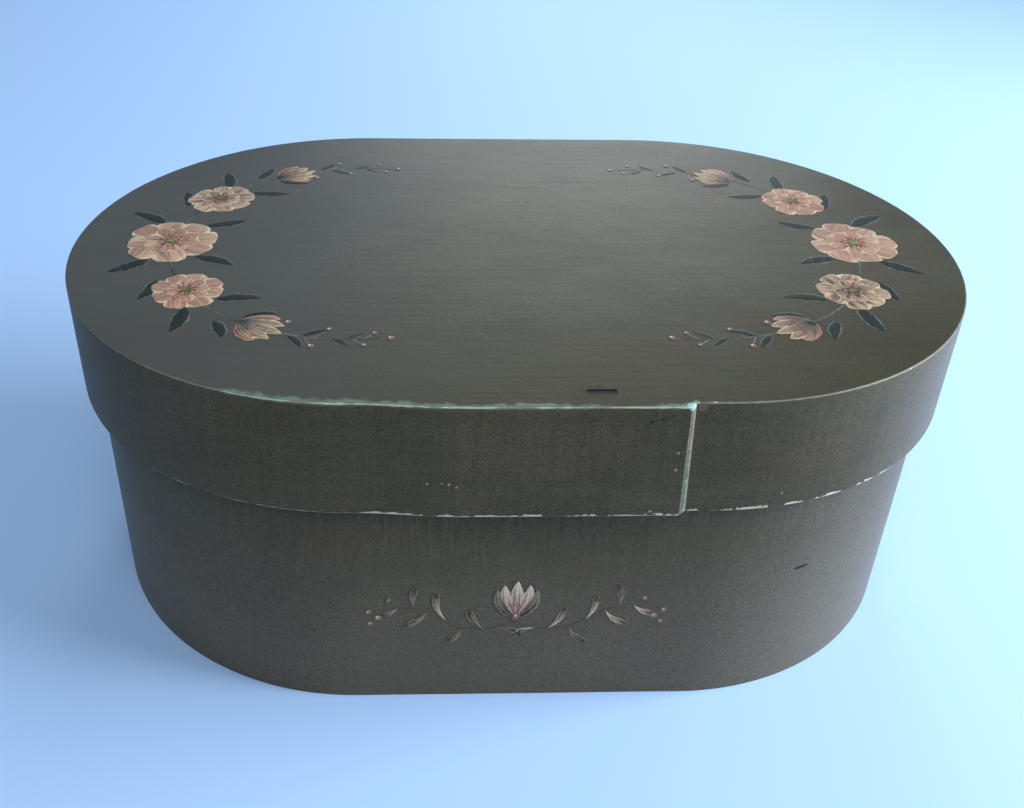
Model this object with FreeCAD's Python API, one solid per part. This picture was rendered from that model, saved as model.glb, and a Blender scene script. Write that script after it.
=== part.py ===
import FreeCAD, Part
import math
import os

# Lidded oval box of bent wood: two lapped bands, each with a board set in it.
# X runs along the box, -Y is its front, Z is up, and z = 0 is the surface it rests on.
# All sizes are in millimetres.

# Body
body_length = 291.0  # outside of the body band, end to end
body_width = 185.0  # outside of the body band, front to back
body_band_thickness = 2.0
base_board_thickness = 4.0

# Lid
box_height = 121.0  # resting surface to the top of the lid
lid_band_height = 38.5
lid_band_thickness = 2.0
lid_board_thickness = 4.0
lid_clearance = 2.5  # gap all round between the body band and the lid band

# Laps, measured along the band from the middle of the side that each one is on
lap_outer_reach = 42.0  # from the middle to the free end of the outer layer
lap_inner_reach = 54.0  # from the middle to where the outer layer starts to rise
lap_rise_length = 34.0  # length over which the outer layer climbs onto the inner one
lap_bevel_length = 3.0  # planed slope at the free end
lap_end_edge = 0.5  # thickness left at the foot of that slope
lap_tail_edge = 0.8  # thickness left at the hidden, tapered inner end
lap_glue_gap = 0.1

# Edges and seats
edge_round = 0.5  # sanded edges of the bands, outside
board_edge_round = 0.3  # sanded edges of the boards, on the faces that show
board_fit = 0.1  # gap all round between a board and its band
rim_seat_gap = 0.0  # the lid board lies flat on the rim of the body band

# Wooden pins that fix each board in its band
pin_diameter = 1.6
pin_grip = 8.0  # length of a pin inside the board
pin_sink = 0.4  # depth of a pin's end below the face of the band, filled and painted
pin_hole_fit = 0.05  # gap round a pin, taken up by glue
base_pin_count = 10
lid_pin_count = 10

# Small break in the front edge of the lid board
nick_length = 7.5
nick_width = 2.2
nick_depth = 1.4
nick_from_middle = 16.0

# Sizes worked out from the ones above
half_straight = (body_length - body_width) / 2
body_inner_radius = body_width / 2 - body_band_thickness
lid_inner_radius = body_width / 2 + lid_clearance
lid_board_bottom = box_height - lid_board_thickness
body_band_height = lid_board_bottom - rim_seat_gap
lid_band_bottom = box_height - lid_band_height
# the front lap makes the box deeper in front, so the oval stands back by half of it
oval_middle_y = (lid_band_thickness + lap_glue_gap) / 2
rise_steps = 8
tolerance = 1e-4

os.makedirs("parts", exist_ok=True)


class Oval:
    """Straight sides with half-round ends, read by the distance along its line."""

    def __init__(self, radius):
        self.radius = radius
        self.end_length = math.pi * radius
        self.length = 4 * half_straight + 2 * self.end_length
        first = half_straight
        second = first + self.end_length
        third = second + 2 * half_straight
        self.bends = [first, second, third, third + self.end_length]

    def point(self, along, outward):
        """Point at a distance along from the front middle, moved outward by an offset."""
        first, second, third, fourth = self.bends
        place = along % self.length
        reach = self.radius + outward
        if place < first:
            return FreeCAD.Vector(place, -reach, 0)
        if place < second:
            turn = (place - first) / self.radius - math.pi / 2
            return FreeCAD.Vector(half_straight + reach * math.cos(turn), reach * math.sin(turn), 0)
        if place < third:
            return FreeCAD.Vector(half_straight - (place - second), reach, 0)
        if place < fourth:
            turn = (place - third) / self.radius + math.pi / 2
            return FreeCAD.Vector(-half_straight + reach * math.cos(turn), reach * math.sin(turn), 0)
        return FreeCAD.Vector(place - self.length, -reach, 0)

    def outward(self, along):
        """Unit direction straight out of the oval at a distance along it."""
        return self.point(along, 1.0) - self.point(along, 0.0)

    def run(self, start, stop, outward):
        """Lines and arcs at one offset, from start to stop."""
        stops = [start]
        for turn in (-1, 0, 1):
            for bend in self.bends:
                mark = bend + turn * self.length
                if start < mark < stop:
                    stops.append(mark)
        stops.append(stop)
        edges = []
        for near, far in zip(stops, stops[1:]):
            first = self.point(near, outward)
            middle = self.point((near + far) / 2, outward)
            last = self.point(far, outward)
            if (first + last).multiply(0.5).distanceToPoint(middle) < tolerance:
                edges.append(Part.LineSegment(first, last).toShape())
            else:
                edges.append(Part.Arc(first, middle, last).toShape())
        return edges

    def rise(self, start, stop, height_at):
        """Smooth curve from start to stop whose offset follows height_at."""
        points = []
        for step in range(rise_steps + 1):
            along = start + (stop - start) * step / rise_steps
            points.append(self.point(along, height_at(along)))
        nudge = (stop - start) / 1000
        leaving = self.point(start + nudge, height_at(start + nudge)) - points[0]
        arriving = points[-1] - self.point(stop - nudge, height_at(stop - nudge))
        curve = Part.BSplineCurve()
        curve.interpolate(
            Points=points, InitialTangent=leaving.normalize(), FinalTangent=arriving.normalize()
        )
        return curve.toShape()


class Lap:
    """Offsets of a band's faces where its outer end climbs over its inner end."""

    def __init__(self, thickness):
        self.thickness = thickness
        self.step = thickness + lap_glue_gap
        self.rise_start = -lap_inner_reach
        self.rise_stop = lap_rise_length - lap_inner_reach
        share = (lap_tail_edge + lap_glue_gap) / self.step
        self.tail_end = self.rise_start + lap_rise_length * math.acos(1 - 2 * share) / math.pi

    def climb(self, along):
        share = (along - self.rise_start) / lap_rise_length
        share = min(max(share, 0.0), 1.0)
        return self.step * (1 - math.cos(math.pi * share)) / 2

    def outer_face(self, along):
        return self.thickness + self.climb(along)

    def tail_face(self, along):
        return self.climb(along) - lap_glue_gap


def bent_band(radius, thickness, height):
    """One strip bent into an oval, its outer end glued over its tapered inner end."""
    oval = Oval(radius)
    lap = Lap(thickness)
    lap_top = lap.step + thickness
    bevel_start = lap_outer_reach - lap_bevel_length
    turn = oval.length
    edges = oval.run(lap.tail_end, turn + lap.rise_start, 0.0)
    edges.append(
        oval.rise(turn + lap.rise_start, turn + lap.rise_stop, lambda s: lap.climb(s - turn))
    )
    edges += oval.run(turn + lap.rise_stop, turn + lap_outer_reach, lap.step)
    end_foot = oval.point(lap_outer_reach, lap.step)
    end_edge = oval.point(lap_outer_reach, lap.step + lap_end_edge)
    end_top = oval.point(bevel_start, lap_top)
    edges.append(Part.LineSegment(end_foot, end_edge).toShape())
    edges.append(Part.LineSegment(end_edge, end_top).toShape())
    edges += oval.run(turn + lap.rise_stop, turn + bevel_start, lap_top)
    edges.append(
        oval.rise(turn + lap.rise_start, turn + lap.rise_stop, lambda s: lap.outer_face(s - turn))
    )
    edges += oval.run(lap.rise_stop, turn + lap.rise_start, thickness)
    edges.append(oval.rise(lap.tail_end, lap.rise_stop, lap.tail_face))
    tail_foot = oval.point(lap.tail_end, 0.0)
    tail_edge = oval.point(lap.tail_end, lap_tail_edge)
    edges.append(Part.LineSegment(tail_edge, tail_foot).toShape())
    outline = Part.Wire(Part.__sortEdges__(edges))
    strip = Part.Face(outline).extrude(FreeCAD.Vector(0, 0, height))
    rounding = min(edge_round, thickness / 3, lap_tail_edge / 2)
    return strip.makeFillet(rounding, lap_rims(strip, oval.radius + lap_top, height))


def lap_rims(strip, lap_radius, height):
    """Outside edges of the lap, top and bottom; a rounding runs on from them round the band."""
    rims = []
    for edge in strip.Edges:
        box = edge.BoundBox
        level = box.ZLength < tolerance
        at_rim = box.ZMin < tolerance or box.ZMax > height - tolerance
        middle = edge.valueAt((edge.FirstParameter + edge.LastParameter) / 2)
        reach_x = max(abs(middle.x) - half_straight, 0.0)
        if level and at_rim and math.hypot(reach_x, middle.y) > lap_radius - tolerance:
            rims.append(edge)
    return rims


def oval_board(radius, thickness):
    """Flat board that fills the oval inside a band, with its two edges sanded."""
    oval = Oval(radius - board_fit)
    outline = Part.Wire(Part.__sortEdges__(oval.run(0.0, oval.length, 0.0)))
    board = Part.Face(outline).extrude(FreeCAD.Vector(0, 0, thickness))
    rims = [edge for edge in board.Edges if edge.BoundBox.ZLength < tolerance]
    return board.makeFillet(min(board_edge_round, thickness / 3), rims)


def pin_places(radius, count):
    """Places of the pins, evenly spaced round the inside face of a band."""
    oval = Oval(radius)
    return [oval.length * index / count for index in range(count)]


def rods(radius, thickness, count, rod_radius, sink, depth):
    """Round rods that point inward through a band, from near its face into its board."""
    oval = Oval(radius)
    lap = Lap(thickness)
    made = []
    for along in pin_places(radius, count):
        signed = along if along < oval.length / 2 else along - oval.length
        covered = signed < lap_outer_reach
        face = lap.outer_face(signed) if covered else thickness
        direction = oval.outward(along)
        start = oval.point(along, face - sink)
        length = face - sink + depth
        made.append(Part.makeCylinder(rod_radius, length, start, direction * -1))
    return made


def pinned(radius, thickness, count, level):
    """Pins of a board and the holes that they fill, at one height."""
    pins = rods(radius, thickness, count, pin_diameter / 2, pin_sink, board_fit + pin_grip)
    hole_radius = pin_diameter / 2 + pin_hole_fit
    over_face = edge_round + thickness
    holes = rods(
        radius, thickness, count, hole_radius, -over_face, board_fit + pin_grip + pin_hole_fit
    )
    lift = FreeCAD.Vector(0, 0, level)
    for rod in pins + holes:
        rod.translate(lift)
    return Part.Compound(pins), Part.Compound(holes)


def about_face(shape):
    """The same shape turned half round, so that its lap is at the back."""
    turned = shape.copy()
    turned.rotate(FreeCAD.Vector(0, 0, 0), FreeCAD.Vector(0, 0, 1), 180)
    return turned


def raised(shape, height):
    moved = shape.copy()
    moved.translate(FreeCAD.Vector(0, 0, height))
    return moved


def save(shape, name):
    """Set a finished piece on the common origin and write it."""
    placed = raised(shape, 0.0)
    placed.translate(FreeCAD.Vector(0, oval_middle_y, 0))
    placed.exportStep("parts/" + name + ".step")
    print(name, len(placed.Solids), round(placed.Volume, 1), placed.isValid())


# Body: band with its lap at the back, and the base board flush with its lower edge
base_pins, base_holes = pinned(
    body_inner_radius, body_band_thickness, base_pin_count, base_board_thickness / 2
)
body_band = bent_band(body_inner_radius, body_band_thickness, body_band_height).cut(base_holes)
base_board = oval_board(body_inner_radius, base_board_thickness).cut(base_holes)
save(about_face(body_band), "body_band")
save(about_face(base_board), "base_board")
save(about_face(base_pins), "base_board_pins")

# Lid: band with its lap in front, and the lid board flush with its upper edge
lid_pins, lid_holes = pinned(
    lid_inner_radius,
    lid_band_thickness,
    lid_pin_count,
    lid_band_height - lid_board_thickness / 2,
)
lid_band = bent_band(lid_inner_radius, lid_band_thickness, lid_band_height).cut(lid_holes)
lid_board = raised(
    oval_board(lid_inner_radius, lid_board_thickness), lid_band_height - lid_board_thickness
)
nick_corner = FreeCAD.Vector(
    nick_from_middle - nick_length / 2,
    -lid_inner_radius - board_fit,
    lid_band_height - nick_depth,
)
nick_reach = nick_width + 2 * board_fit
nick = Part.makeBox(nick_length, nick_reach, nick_depth + board_fit, nick_corner)
lid_board = lid_board.cut(lid_holes).cut(nick)
save(raised(lid_band, lid_band_bottom), "lid_band")
save(raised(lid_board, lid_band_bottom), "lid_board")
save(raised(lid_pins, lid_band_bottom), "lid_board_pins")
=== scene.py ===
import math
import random

import bmesh
import bpy
from mathutils import Matrix, Vector, noise


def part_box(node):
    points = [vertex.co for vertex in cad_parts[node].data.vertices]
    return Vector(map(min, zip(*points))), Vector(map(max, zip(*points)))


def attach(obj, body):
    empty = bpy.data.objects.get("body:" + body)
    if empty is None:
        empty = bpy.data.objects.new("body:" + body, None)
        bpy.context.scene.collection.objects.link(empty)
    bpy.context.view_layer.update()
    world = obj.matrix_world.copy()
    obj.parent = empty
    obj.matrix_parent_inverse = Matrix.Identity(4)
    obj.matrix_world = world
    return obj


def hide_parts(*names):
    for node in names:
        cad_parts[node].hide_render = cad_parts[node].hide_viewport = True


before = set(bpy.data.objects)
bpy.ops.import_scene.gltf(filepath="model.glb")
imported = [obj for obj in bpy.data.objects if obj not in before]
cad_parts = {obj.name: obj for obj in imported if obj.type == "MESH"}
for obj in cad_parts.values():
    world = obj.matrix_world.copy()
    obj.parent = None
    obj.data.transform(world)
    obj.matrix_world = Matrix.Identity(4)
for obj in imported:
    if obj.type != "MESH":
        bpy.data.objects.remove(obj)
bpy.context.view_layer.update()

MM = 0.001

# The base board is a flat oval of birch plywood, set inside the lower edge of the body band.
# Its grain runs along the box. It was sanded and never painted, and its underside stands on
# the table, so it has picked up a little dirt.
birch_pale = (0.60, 0.455, 0.295)
birch_brown = (0.47, 0.325, 0.195)
birch_pore = (0.25, 0.15, 0.08)
table_dirt = (0.16, 0.13, 0.1)
board_figure = (90 * MM, 5 * MM, 5 * MM)
board_grain_depth = 0.05 * MM
dirt_size = (30 * MM, 22 * MM, 30 * MM)
dirt_reach = 1.5 * MM


class Nodes:
    """A node tree, with short ways to lay one node upon another."""

    def __init__(self, tree):
        self.tree = tree

    def add(self, kind, **settings):
        node = self.tree.nodes.new("ShaderNode" + kind)
        for key, value in settings.items():
            setattr(node, key, value)
        return node

    def feed(self, socket, value):
        if isinstance(value, bpy.types.NodeSocket):
            self.tree.links.new(value, socket)
        elif isinstance(value, tuple) and socket.type == "RGBA":
            socket.default_value = value[:3] + (1.0,)
        else:
            socket.default_value = value

    def calc(self, operation, first, second=0.0):
        node = self.add("Math", operation=operation)
        self.feed(node.inputs[0], first)
        self.feed(node.inputs[1], second)
        return node.outputs[0]


class Finish(Nodes):
    """One finish: its shader, and the patterns that it is built up from."""

    def __init__(self, name):
        self.material = bpy.data.materials.new(name)
        self.material.use_nodes = True
        super().__init__(self.material.node_tree)
        self.shader = self.tree.nodes["Principled BSDF"]
        self.place = self.add("TexCoord").outputs["Object"]
        self.x, self.y, self.z = self.parts(self.place)

    def parts(self, vector):
        """The three parts of a vector, each as a socket."""
        split = self.add("SeparateXYZ")
        self.feed(split.inputs[0], vector)
        return split.outputs

    def apart(self, value, place):
        """How far a value is from a place, either way."""
        return self.calc("ABSOLUTE", self.calc("SUBTRACT", value, place))

    def grain(self, sizes, detail=3.0, rough=0.5, warp=0.0, seed=0.0, source=None):
        """Noise with patches of the given sizes, in metres, along X, Y and Z."""
        spread = self.add("Mapping")
        self.feed(spread.inputs["Vector"], source or self.place)
        spread.inputs["Scale"].default_value = [1 / size for size in sizes]
        spread.inputs["Location"].default_value = (seed, seed * 1.7, -seed)
        pattern = self.add("TexNoise")
        self.feed(pattern.inputs["Vector"], spread.outputs[0])
        pattern.inputs["Scale"].default_value = 1.0
        pattern.inputs["Detail"].default_value = detail
        pattern.inputs["Roughness"].default_value = rough
        pattern.inputs["Distortion"].default_value = warp
        return pattern.outputs["Fac"]

    def fade(self, value, none, full, low=0.0, high=1.0):
        """Low where the value is at none, high where it is at full, eased between them."""
        node = self.add("MapRange", interpolation_type="SMOOTHSTEP")
        self.feed(node.inputs["Value"], value)
        self.feed(node.inputs["From Min"], none)
        self.feed(node.inputs["From Max"], full)
        node.inputs["To Min"].default_value = low
        node.inputs["To Max"].default_value = high
        return node.outputs["Result"]

    def vary(self, pattern, low, high):
        """A value that runs from low to high as a noise pattern does."""
        return self.fade(pattern, 0.3, 0.7, low, high)

    def blend(self, share, first, second):
        node = self.add("Mix", data_type="RGBA")
        self.feed(node.inputs[0], share)
        self.feed(node.inputs[6], first)
        self.feed(node.inputs[7], second)
        return node.outputs[2]

    def tone(self, colour, factor):
        """The colour made lighter or darker by a factor."""
        node = self.add("VectorMath", operation="SCALE")
        self.feed(node.inputs[0], colour)
        self.feed(node.inputs["Scale"], factor)
        return node.outputs[0]

    def relief(self, height, depth):
        """Bump of a depth in metres."""
        node = self.add("Bump")
        self.feed(node.inputs["Height"], height)
        node.inputs["Distance"].default_value = depth
        return node.outputs[0]

    def near(self, point, sizes, warp=0.25, seed=0.0):
        """1 on a small ragged spot round a point, and 0 outside it."""
        shift = self.add("VectorMath", operation="SUBTRACT")
        self.feed(shift.inputs[0], self.place)
        shift.inputs[1].default_value = point
        shape = self.add("VectorMath", operation="DIVIDE")
        self.feed(shape.inputs[0], shift.outputs[0])
        shape.inputs[1].default_value = sizes
        length = self.add("VectorMath", operation="LENGTH")
        self.feed(length.inputs[0], shape.outputs[0])
        smallest = min(sizes)
        ragged = self.grain((smallest, smallest, smallest), seed=seed)
        reach = self.calc("ADD", length.outputs["Value"], self.calc("MULTIPLY", ragged, warp))
        return self.fade(reach, 1.0 + warp / 2, 0.75 + warp / 2)

    def done(self, colour, roughness, normal, **plain):
        self.feed(self.shader.inputs["Base Color"], colour)
        self.feed(self.shader.inputs["Roughness"], roughness)
        self.feed(self.shader.inputs["Normal"], normal)
        for key, value in plain.items():
            self.shader.inputs[key.replace("_", " ")].default_value = value
        return self.material


def birch(finish, run):
    """Colour, roughness and relief of bare birch, its figure drawn out by run in metres."""
    figure = finish.grain(run, detail=4.0, warp=0.2)
    fine = finish.grain([length / 6 for length in run], detail=3.0, seed=3.0)
    pores = finish.grain([length / 9 for length in run], detail=1.0, seed=7.0)
    colour = finish.blend(finish.fade(figure, 0.3, 0.75, 0.0, 0.8), birch_pale, birch_brown)
    colour = finish.tone(colour, finish.vary(fine, 0.88, 1.08))
    colour = finish.blend(finish.fade(pores, 0.66, 0.8, 0.0, 0.6), colour, birch_pore)
    roughness = finish.vary(fine, 0.55, 0.7)
    return colour, roughness, finish.calc("ADD", fine, finish.calc("MULTIPLY", pores, -0.5))


def dress(node, material):
    """Give a piece of bare wood its finish."""
    slots = bpy.data.objects[node].data.materials
    slots.clear()
    slots.append(material)


base_low, base_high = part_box("base_board")
end_radius = (base_high.y - base_low.y) / 2
half_straight = (base_high.x - base_low.x) / 2 - end_radius
middle_y = (base_high.y + base_low.y) / 2

base_finish = Finish("bare_birch_board")
colour, roughness, height = birch(base_finish, board_figure)
dirt = base_finish.grain(dirt_size, detail=5.0, rough=0.65, seed=11.0)
underside = base_finish.fade(base_finish.z, dirt_reach, 0.0)
dirt = base_finish.calc("MULTIPLY", base_finish.fade(dirt, 0.5, 0.8, 0.0, 0.55), underside)
colour = base_finish.blend(dirt, colour, table_dirt)
relief = base_finish.relief(height, board_grain_depth)
dress("base_board", base_finish.done(colour, roughness, relief))

# The base board is held by ten small wooden pins, cut from split birch and driven through
# the band into the board's edge, and the lid board by ten more. Their ends sit just under
# the band's face and are filled over.
pin_figure = (4 * MM, 4 * MM, 0.6 * MM)
pin_grain_depth = 0.03 * MM
pin_finish = Finish("split_birch_pins")
colour, roughness, height = birch(pin_finish, pin_figure)
pin_material = pin_finish.done(colour, roughness, pin_finish.relief(height, pin_grain_depth))
dress("base_board_pins", pin_material)
dress("lid_board_pins", pin_material)

# The body band is one strip of 2 mm birch, steamed, bent round a former and glued where its
# ends lap at the back. It has a pale teal coat under a dark olive one, rubbed at the edges.
# Inside, the wood is bare, with a ragged line of paint just over the rim.
band_thickness = 2 * MM
board_fit = 0.1 * MM
lap_reach = 42 * MM
lap_rise_start = -54 * MM
lap_rise_length = 34 * MM
lap_bevel = 1.45 * MM
lap_end_edge = 0.5 * MM
lap_tail_edge = 0.8 * MM
lap_glue_gap = 0.1 * MM
edge_round = 0.5 * MM
column_width = 3 * MM
row_height = 9 * MM
rim_ledges = (0.9 * MM, 1.6 * MM, 2.6 * MM, 4 * MM)
lap_corner = 1.1 * MM
lap_top_corner = lap_corner / 3
lap_corner_run = 8 * MM
lap_slant = 1.6 * MM
ripple = 0.12 * MM
ripples_along = 28
ripples_up = 16
ripple_place = 40
cut_snap = 1e-7
crease_angle = 0.6
band_figure = (80 * MM, 80 * MM, 3.5 * MM)
band_brushing = (50 * MM, 50 * MM, 1.3 * MM)
grit_size = (0.6 * MM, 0.6 * MM, 0.45 * MM)
weft_size = (1.3 * MM, 1.3 * MM, 0.36 * MM)
warp_size = (0.36 * MM, 0.36 * MM, 1.6 * MM)
worn_rough = 0.6
broken_rough = 0.7
band_gloss = 0.18
paling_low_from = 90 * MM
paling_low_full = 10 * MM
palest_right_x = 130 * MM
combed_from = 52 * MM
combed_full = 66 * MM
gouge_place = (87.3 * MM, -85.4 * MM, 49.8 * MM)
gouge_size = (3.4 * MM, 3.4 * MM, 0.75 * MM)
olive_dark = (0.041, 0.038, 0.020)
olive_green = (0.052, 0.052, 0.029)
umber = (0.056, 0.047, 0.030)
thread_pale = (0.125, 0.12, 0.115)
pale_paint_and_sheen_grey = (0.120, 0.121, 0.114)
teal_coat = (0.15, 0.26, 0.235)
gouge_black = (0.012, 0.011, 0.010)


def oval_length(radius):
    return 4 * half_straight + 2 * math.pi * radius


def oval_place(radius, along, outward):
    """Point of the oval at a distance along it from the middle of one side."""
    half_round = math.pi * radius
    place = along % oval_length(radius)
    reach = radius + outward
    if place < half_straight:
        return place, -reach
    place -= half_straight
    if place < half_round:
        turn = place / radius - math.pi / 2
        return half_straight + reach * math.cos(turn), reach * math.sin(turn)
    place -= half_round
    if place < 2 * half_straight:
        return half_straight - place, reach
    place -= 2 * half_straight
    if place < half_round:
        turn = place / radius + math.pi / 2
        return -half_straight + reach * math.cos(turn), reach * math.sin(turn)
    return place - half_round - half_straight, -reach


def climb(along):
    """How far the outer layer of a lap stands out over the inner one."""
    share = min(max((along - lap_rise_start) / lap_rise_length, 0.0), 1.0)
    return (band_thickness + lap_glue_gap) * (1 - math.cos(math.pi * share)) / 2


def tail_place():
    """Where the hidden inner end of a lap starts, as thick as its tapered edge."""
    share = (lap_tail_edge + lap_glue_gap) / (band_thickness + lap_glue_gap)
    return lap_rise_start + lap_rise_length * math.acos(1 - 2 * share) / math.pi


lap_tail_place = tail_place()


def flat_strip(length, low, high, ledges):
    """A straight strip with rounded rims, cut into columns and, at the ledges, into rows."""
    bm = bmesh.new()
    bmesh.ops.create_cube(bm, size=1.0)
    size = (length, band_thickness, high - low)
    bmesh.ops.scale(bm, vec=size, verts=bm.verts)
    middle = (length / 2, band_thickness / 2, (low + high) / 2)
    bmesh.ops.translate(bm, vec=middle, verts=bm.verts)
    rims = [e for e in bm.edges if e.calc_length() > length / 2]
    bmesh.ops.bevel(
        bm, geom=rims, offset=edge_round, offset_type="OFFSET", segments=3, profile=0.5,
        affect="EDGES", material=-1,
    )
    rows = [(Vector((0, 0, ledge)), Vector((0, 0, 1))) for ledge in ledges]
    columns = round(length / column_width)
    steps = [length * column / columns for column in range(1, columns)]
    steps += [length - lap_bevel, length - lap_bevel / 2]
    rows += [(Vector((step, 0, 0)), Vector((1, 0, 0))) for step in steps]
    for place, facing in rows:
        everything = bm.verts[:] + bm.edges[:] + bm.faces[:]
        bmesh.ops.bisect_plane(bm, geom=everything, dist=cut_snap, plane_co=place, plane_no=facing)
    return bm


def lay_out(bm, low, high):
    """Map the strip: U runs along it, and V up its face, over the rim and down inside."""
    layer = bm.loops.layers.uv.new("strip")
    height = high - low
    for face in bm.faces:
        above = face.calc_center_median().z > (low + high) / 2
        for loop in face.loops:
            inward = band_thickness - loop.vert.co.y
            up = loop.vert.co.z - low
            run = up + inward if above else up - inward
            if face.normal.y < -0.5:
                run = height + inward + height - up
            loop[layer].uv = (loop.vert.co.x, run)


def shape_lap(bm, turn, low, high):
    """Taper the strip's inner end, and lift and bevel its outer end, before it is bent."""
    for vert in bm.verts:
        along = vert.co.x + lap_tail_place
        from_middle = along - turn
        if along < 0:
            room = max(climb(along) - lap_glue_gap, lap_tail_edge)
            vert.co.y *= min(room / band_thickness, 1.0)
        elif from_middle > lap_rise_start:
            sloped = max(from_middle - (lap_reach - lap_bevel), 0.0) / lap_bevel
            thickness = band_thickness + (lap_end_edge - band_thickness) * sloped
            vert.co.y = vert.co.y * thickness / band_thickness + climb(from_middle)
            near_end = max(1 - (lap_reach - from_middle) / lap_corner_run, 0.0)
            vert.co.x += lap_slant * near_end ** 2 * (high - vert.co.z) / (high - low)
            corners = ((vert.co.z - low, lap_corner), (high - vert.co.z, lap_top_corner))
            for edge, size in corners:
                if edge < size:
                    pull = size - math.sqrt(max(size ** 2 - (size - edge) ** 2, 0.0))
                    vert.co.x -= pull * near_end ** 2


def bend_round(bm, radius, at_back):
    """Bend the strip round the oval, with the slight ripple of wood bent by hand."""
    side = -1 if at_back else 1
    for vert in bm.verts:
        x, y, z = vert.co
        spot = Vector((x * ripples_along, radius * ripple_place, z * ripples_up))
        wave = noise.noise(spot)
        x, y = oval_place(radius, x + lap_tail_place, y + wave * ripple)
        vert.co = (side * x, side * y + middle_y, z)


def settle(bm, name, material, body):
    """Turn a finished mesh into a smooth-shaded piece that rides on a body."""
    bmesh.ops.recalc_face_normals(bm, faces=bm.faces)
    if bm.calc_volume(signed=True) < 0:
        bmesh.ops.reverse_faces(bm, faces=bm.faces)
    for face in bm.faces:
        face.smooth = True
    for edge in bm.edges:
        if edge.is_manifold and edge.calc_face_angle(0.0) > crease_angle:
            edge.smooth = False
    mesh = bpy.data.meshes.new(name)
    bm.to_mesh(mesh)
    bm.free()
    mesh.materials.append(material)
    piece = bpy.data.objects.new(name, mesh)
    bpy.context.scene.collection.objects.link(piece)
    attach(piece, body)
    return piece


def bent_band(name, radius, low, high, material, body, at_back):
    """A bent strip whose outer end is glued over its tapered inner end."""
    turn = oval_length(radius)
    rows = max(round((high - low) / row_height), 3)
    ledges = [low + (high - low) * row / rows for row in range(1, rows)]
    ledges += [low + near for near in rim_ledges] + [high - near for near in rim_ledges]
    bm = flat_strip(turn + lap_reach - lap_tail_place, low, high, ledges)
    lay_out(bm, low, high)
    shape_lap(bm, turn, low, high)
    bend_round(bm, radius, at_back)
    return settle(bm, name, material, body)


class OldPaint(Finish):
    """Dark olive paint brushed over a teal coat, rubbed through where hands and table wear it."""

    def __init__(self, name, strokes, threads):
        super().__init__(name)
        level = self.grain(strokes, detail=4.0, seed=2.0)
        hairs = self.grain([size / 3 for size in strokes], detail=3.0, seed=5.0)
        cloud = self.grain((50 * MM, 42 * MM, 30 * MM), detail=5.0, rough=0.6, seed=1.0)
        hue = self.grain((70 * MM, 60 * MM, 24 * MM), detail=4.0, seed=4.0)
        self.grit = self.grain(grit_size, detail=2.0, rough=0.7, seed=6.0)
        colour = self.blend(self.fade(cloud, 0.36, 0.64), olive_dark, olive_green)
        colour = self.blend(self.fade(hue, 0.48, 0.72, 0.0, 0.8), colour, umber)
        colour = self.tone(colour, self.fade(level, 0.25, 0.75, 0.92, 1.07))
        colour = self.tone(colour, self.vary(hairs, 0.93, 1.07))
        colour = self.tone(colour, self.fade(self.grit, 0.32, 0.68, 0.62, 1.38))
        weft = self.grain(weft_size, detail=2.0, seed=8.0)
        warp = self.grain(warp_size, detail=2.0, seed=9.0)
        linen = self.calc("MAXIMUM", self.fade(weft, 0.5, 0.78), self.fade(warp, 0.5, 0.78))
        patch = self.grain((40 * MM, 40 * MM, 25 * MM), detail=3.0, seed=12.0)
        linen = self.calc("MULTIPLY", linen, self.fade(patch, 0.35, 0.6, 0.3 * threads, threads))
        self.colour = self.blend(linen, colour, thread_pale)
        self.rough = self.vary(level, 0.40, 0.54)
        self.height = self.calc("MULTIPLY", cloud, 0.35 * MM)
        self.swell(level, 0.04 * MM)
        self.swell(self.grit, 0.04 * MM)
        self.swell(linen, 0.08 * MM)

    def swell(self, pattern, depth):
        """Raise the paint's surface where the pattern is, by a depth in metres."""
        self.height = self.calc("ADD", self.height, self.calc("MULTIPLY", pattern, depth))

    def dried(self, gloss):
        """The finished paint, with its relief, whose height is in metres already."""
        relief = self.relief(self.height, 1.0)
        return self.done(self.colour, self.rough, relief, Specular_IOR_Level=gloss)

    def lay(self, mask, colour, strength=1.0, depth=0.0, rough=None):
        """Put a colour where the mask is, sunk below the paint by a depth."""
        share = self.calc("MULTIPLY", mask, strength)
        self.colour = self.blend(share, self.colour, colour)
        if depth:
            self.swell(share, -depth)
        if rough is not None:
            gap = self.calc("SUBTRACT", rough, self.rough)
            self.rough = self.calc("ADD", self.rough, self.calc("MULTIPLY", gap, share))

    def rub(self, away, width, length, seed, share=None, cover=0.5, soft=0.1 * MM):
        """Ragged rubbed stretches along a rim, by the distance away from it."""
        stretch = self.grain((length, length, 1.0), detail=3.0, seed=seed)
        ragged = self.grain((3 * MM, 3 * MM, 0.8 * MM), detail=4.0, seed=seed + 3)
        present = self.fade(stretch, 0.62 - cover * 0.3, 0.72 - cover * 0.3)
        if share is not None:
            present = self.calc("MULTIPLY", present, share)
        reach = self.calc("MULTIPLY", present, self.fade(ragged, 0.25, 0.75, 0.2 * width, width))
        return self.fade(self.calc("SUBTRACT", away, reach), soft, -soft)

    def bare(self, share, run):
        """Bare birch wherever the share is 1."""
        self.colour = self.blend(share, self.colour, birch(self, run)[0])
        self.rough = self.fade(share, 0.0, 1.0, 0.46, 0.62)


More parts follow.
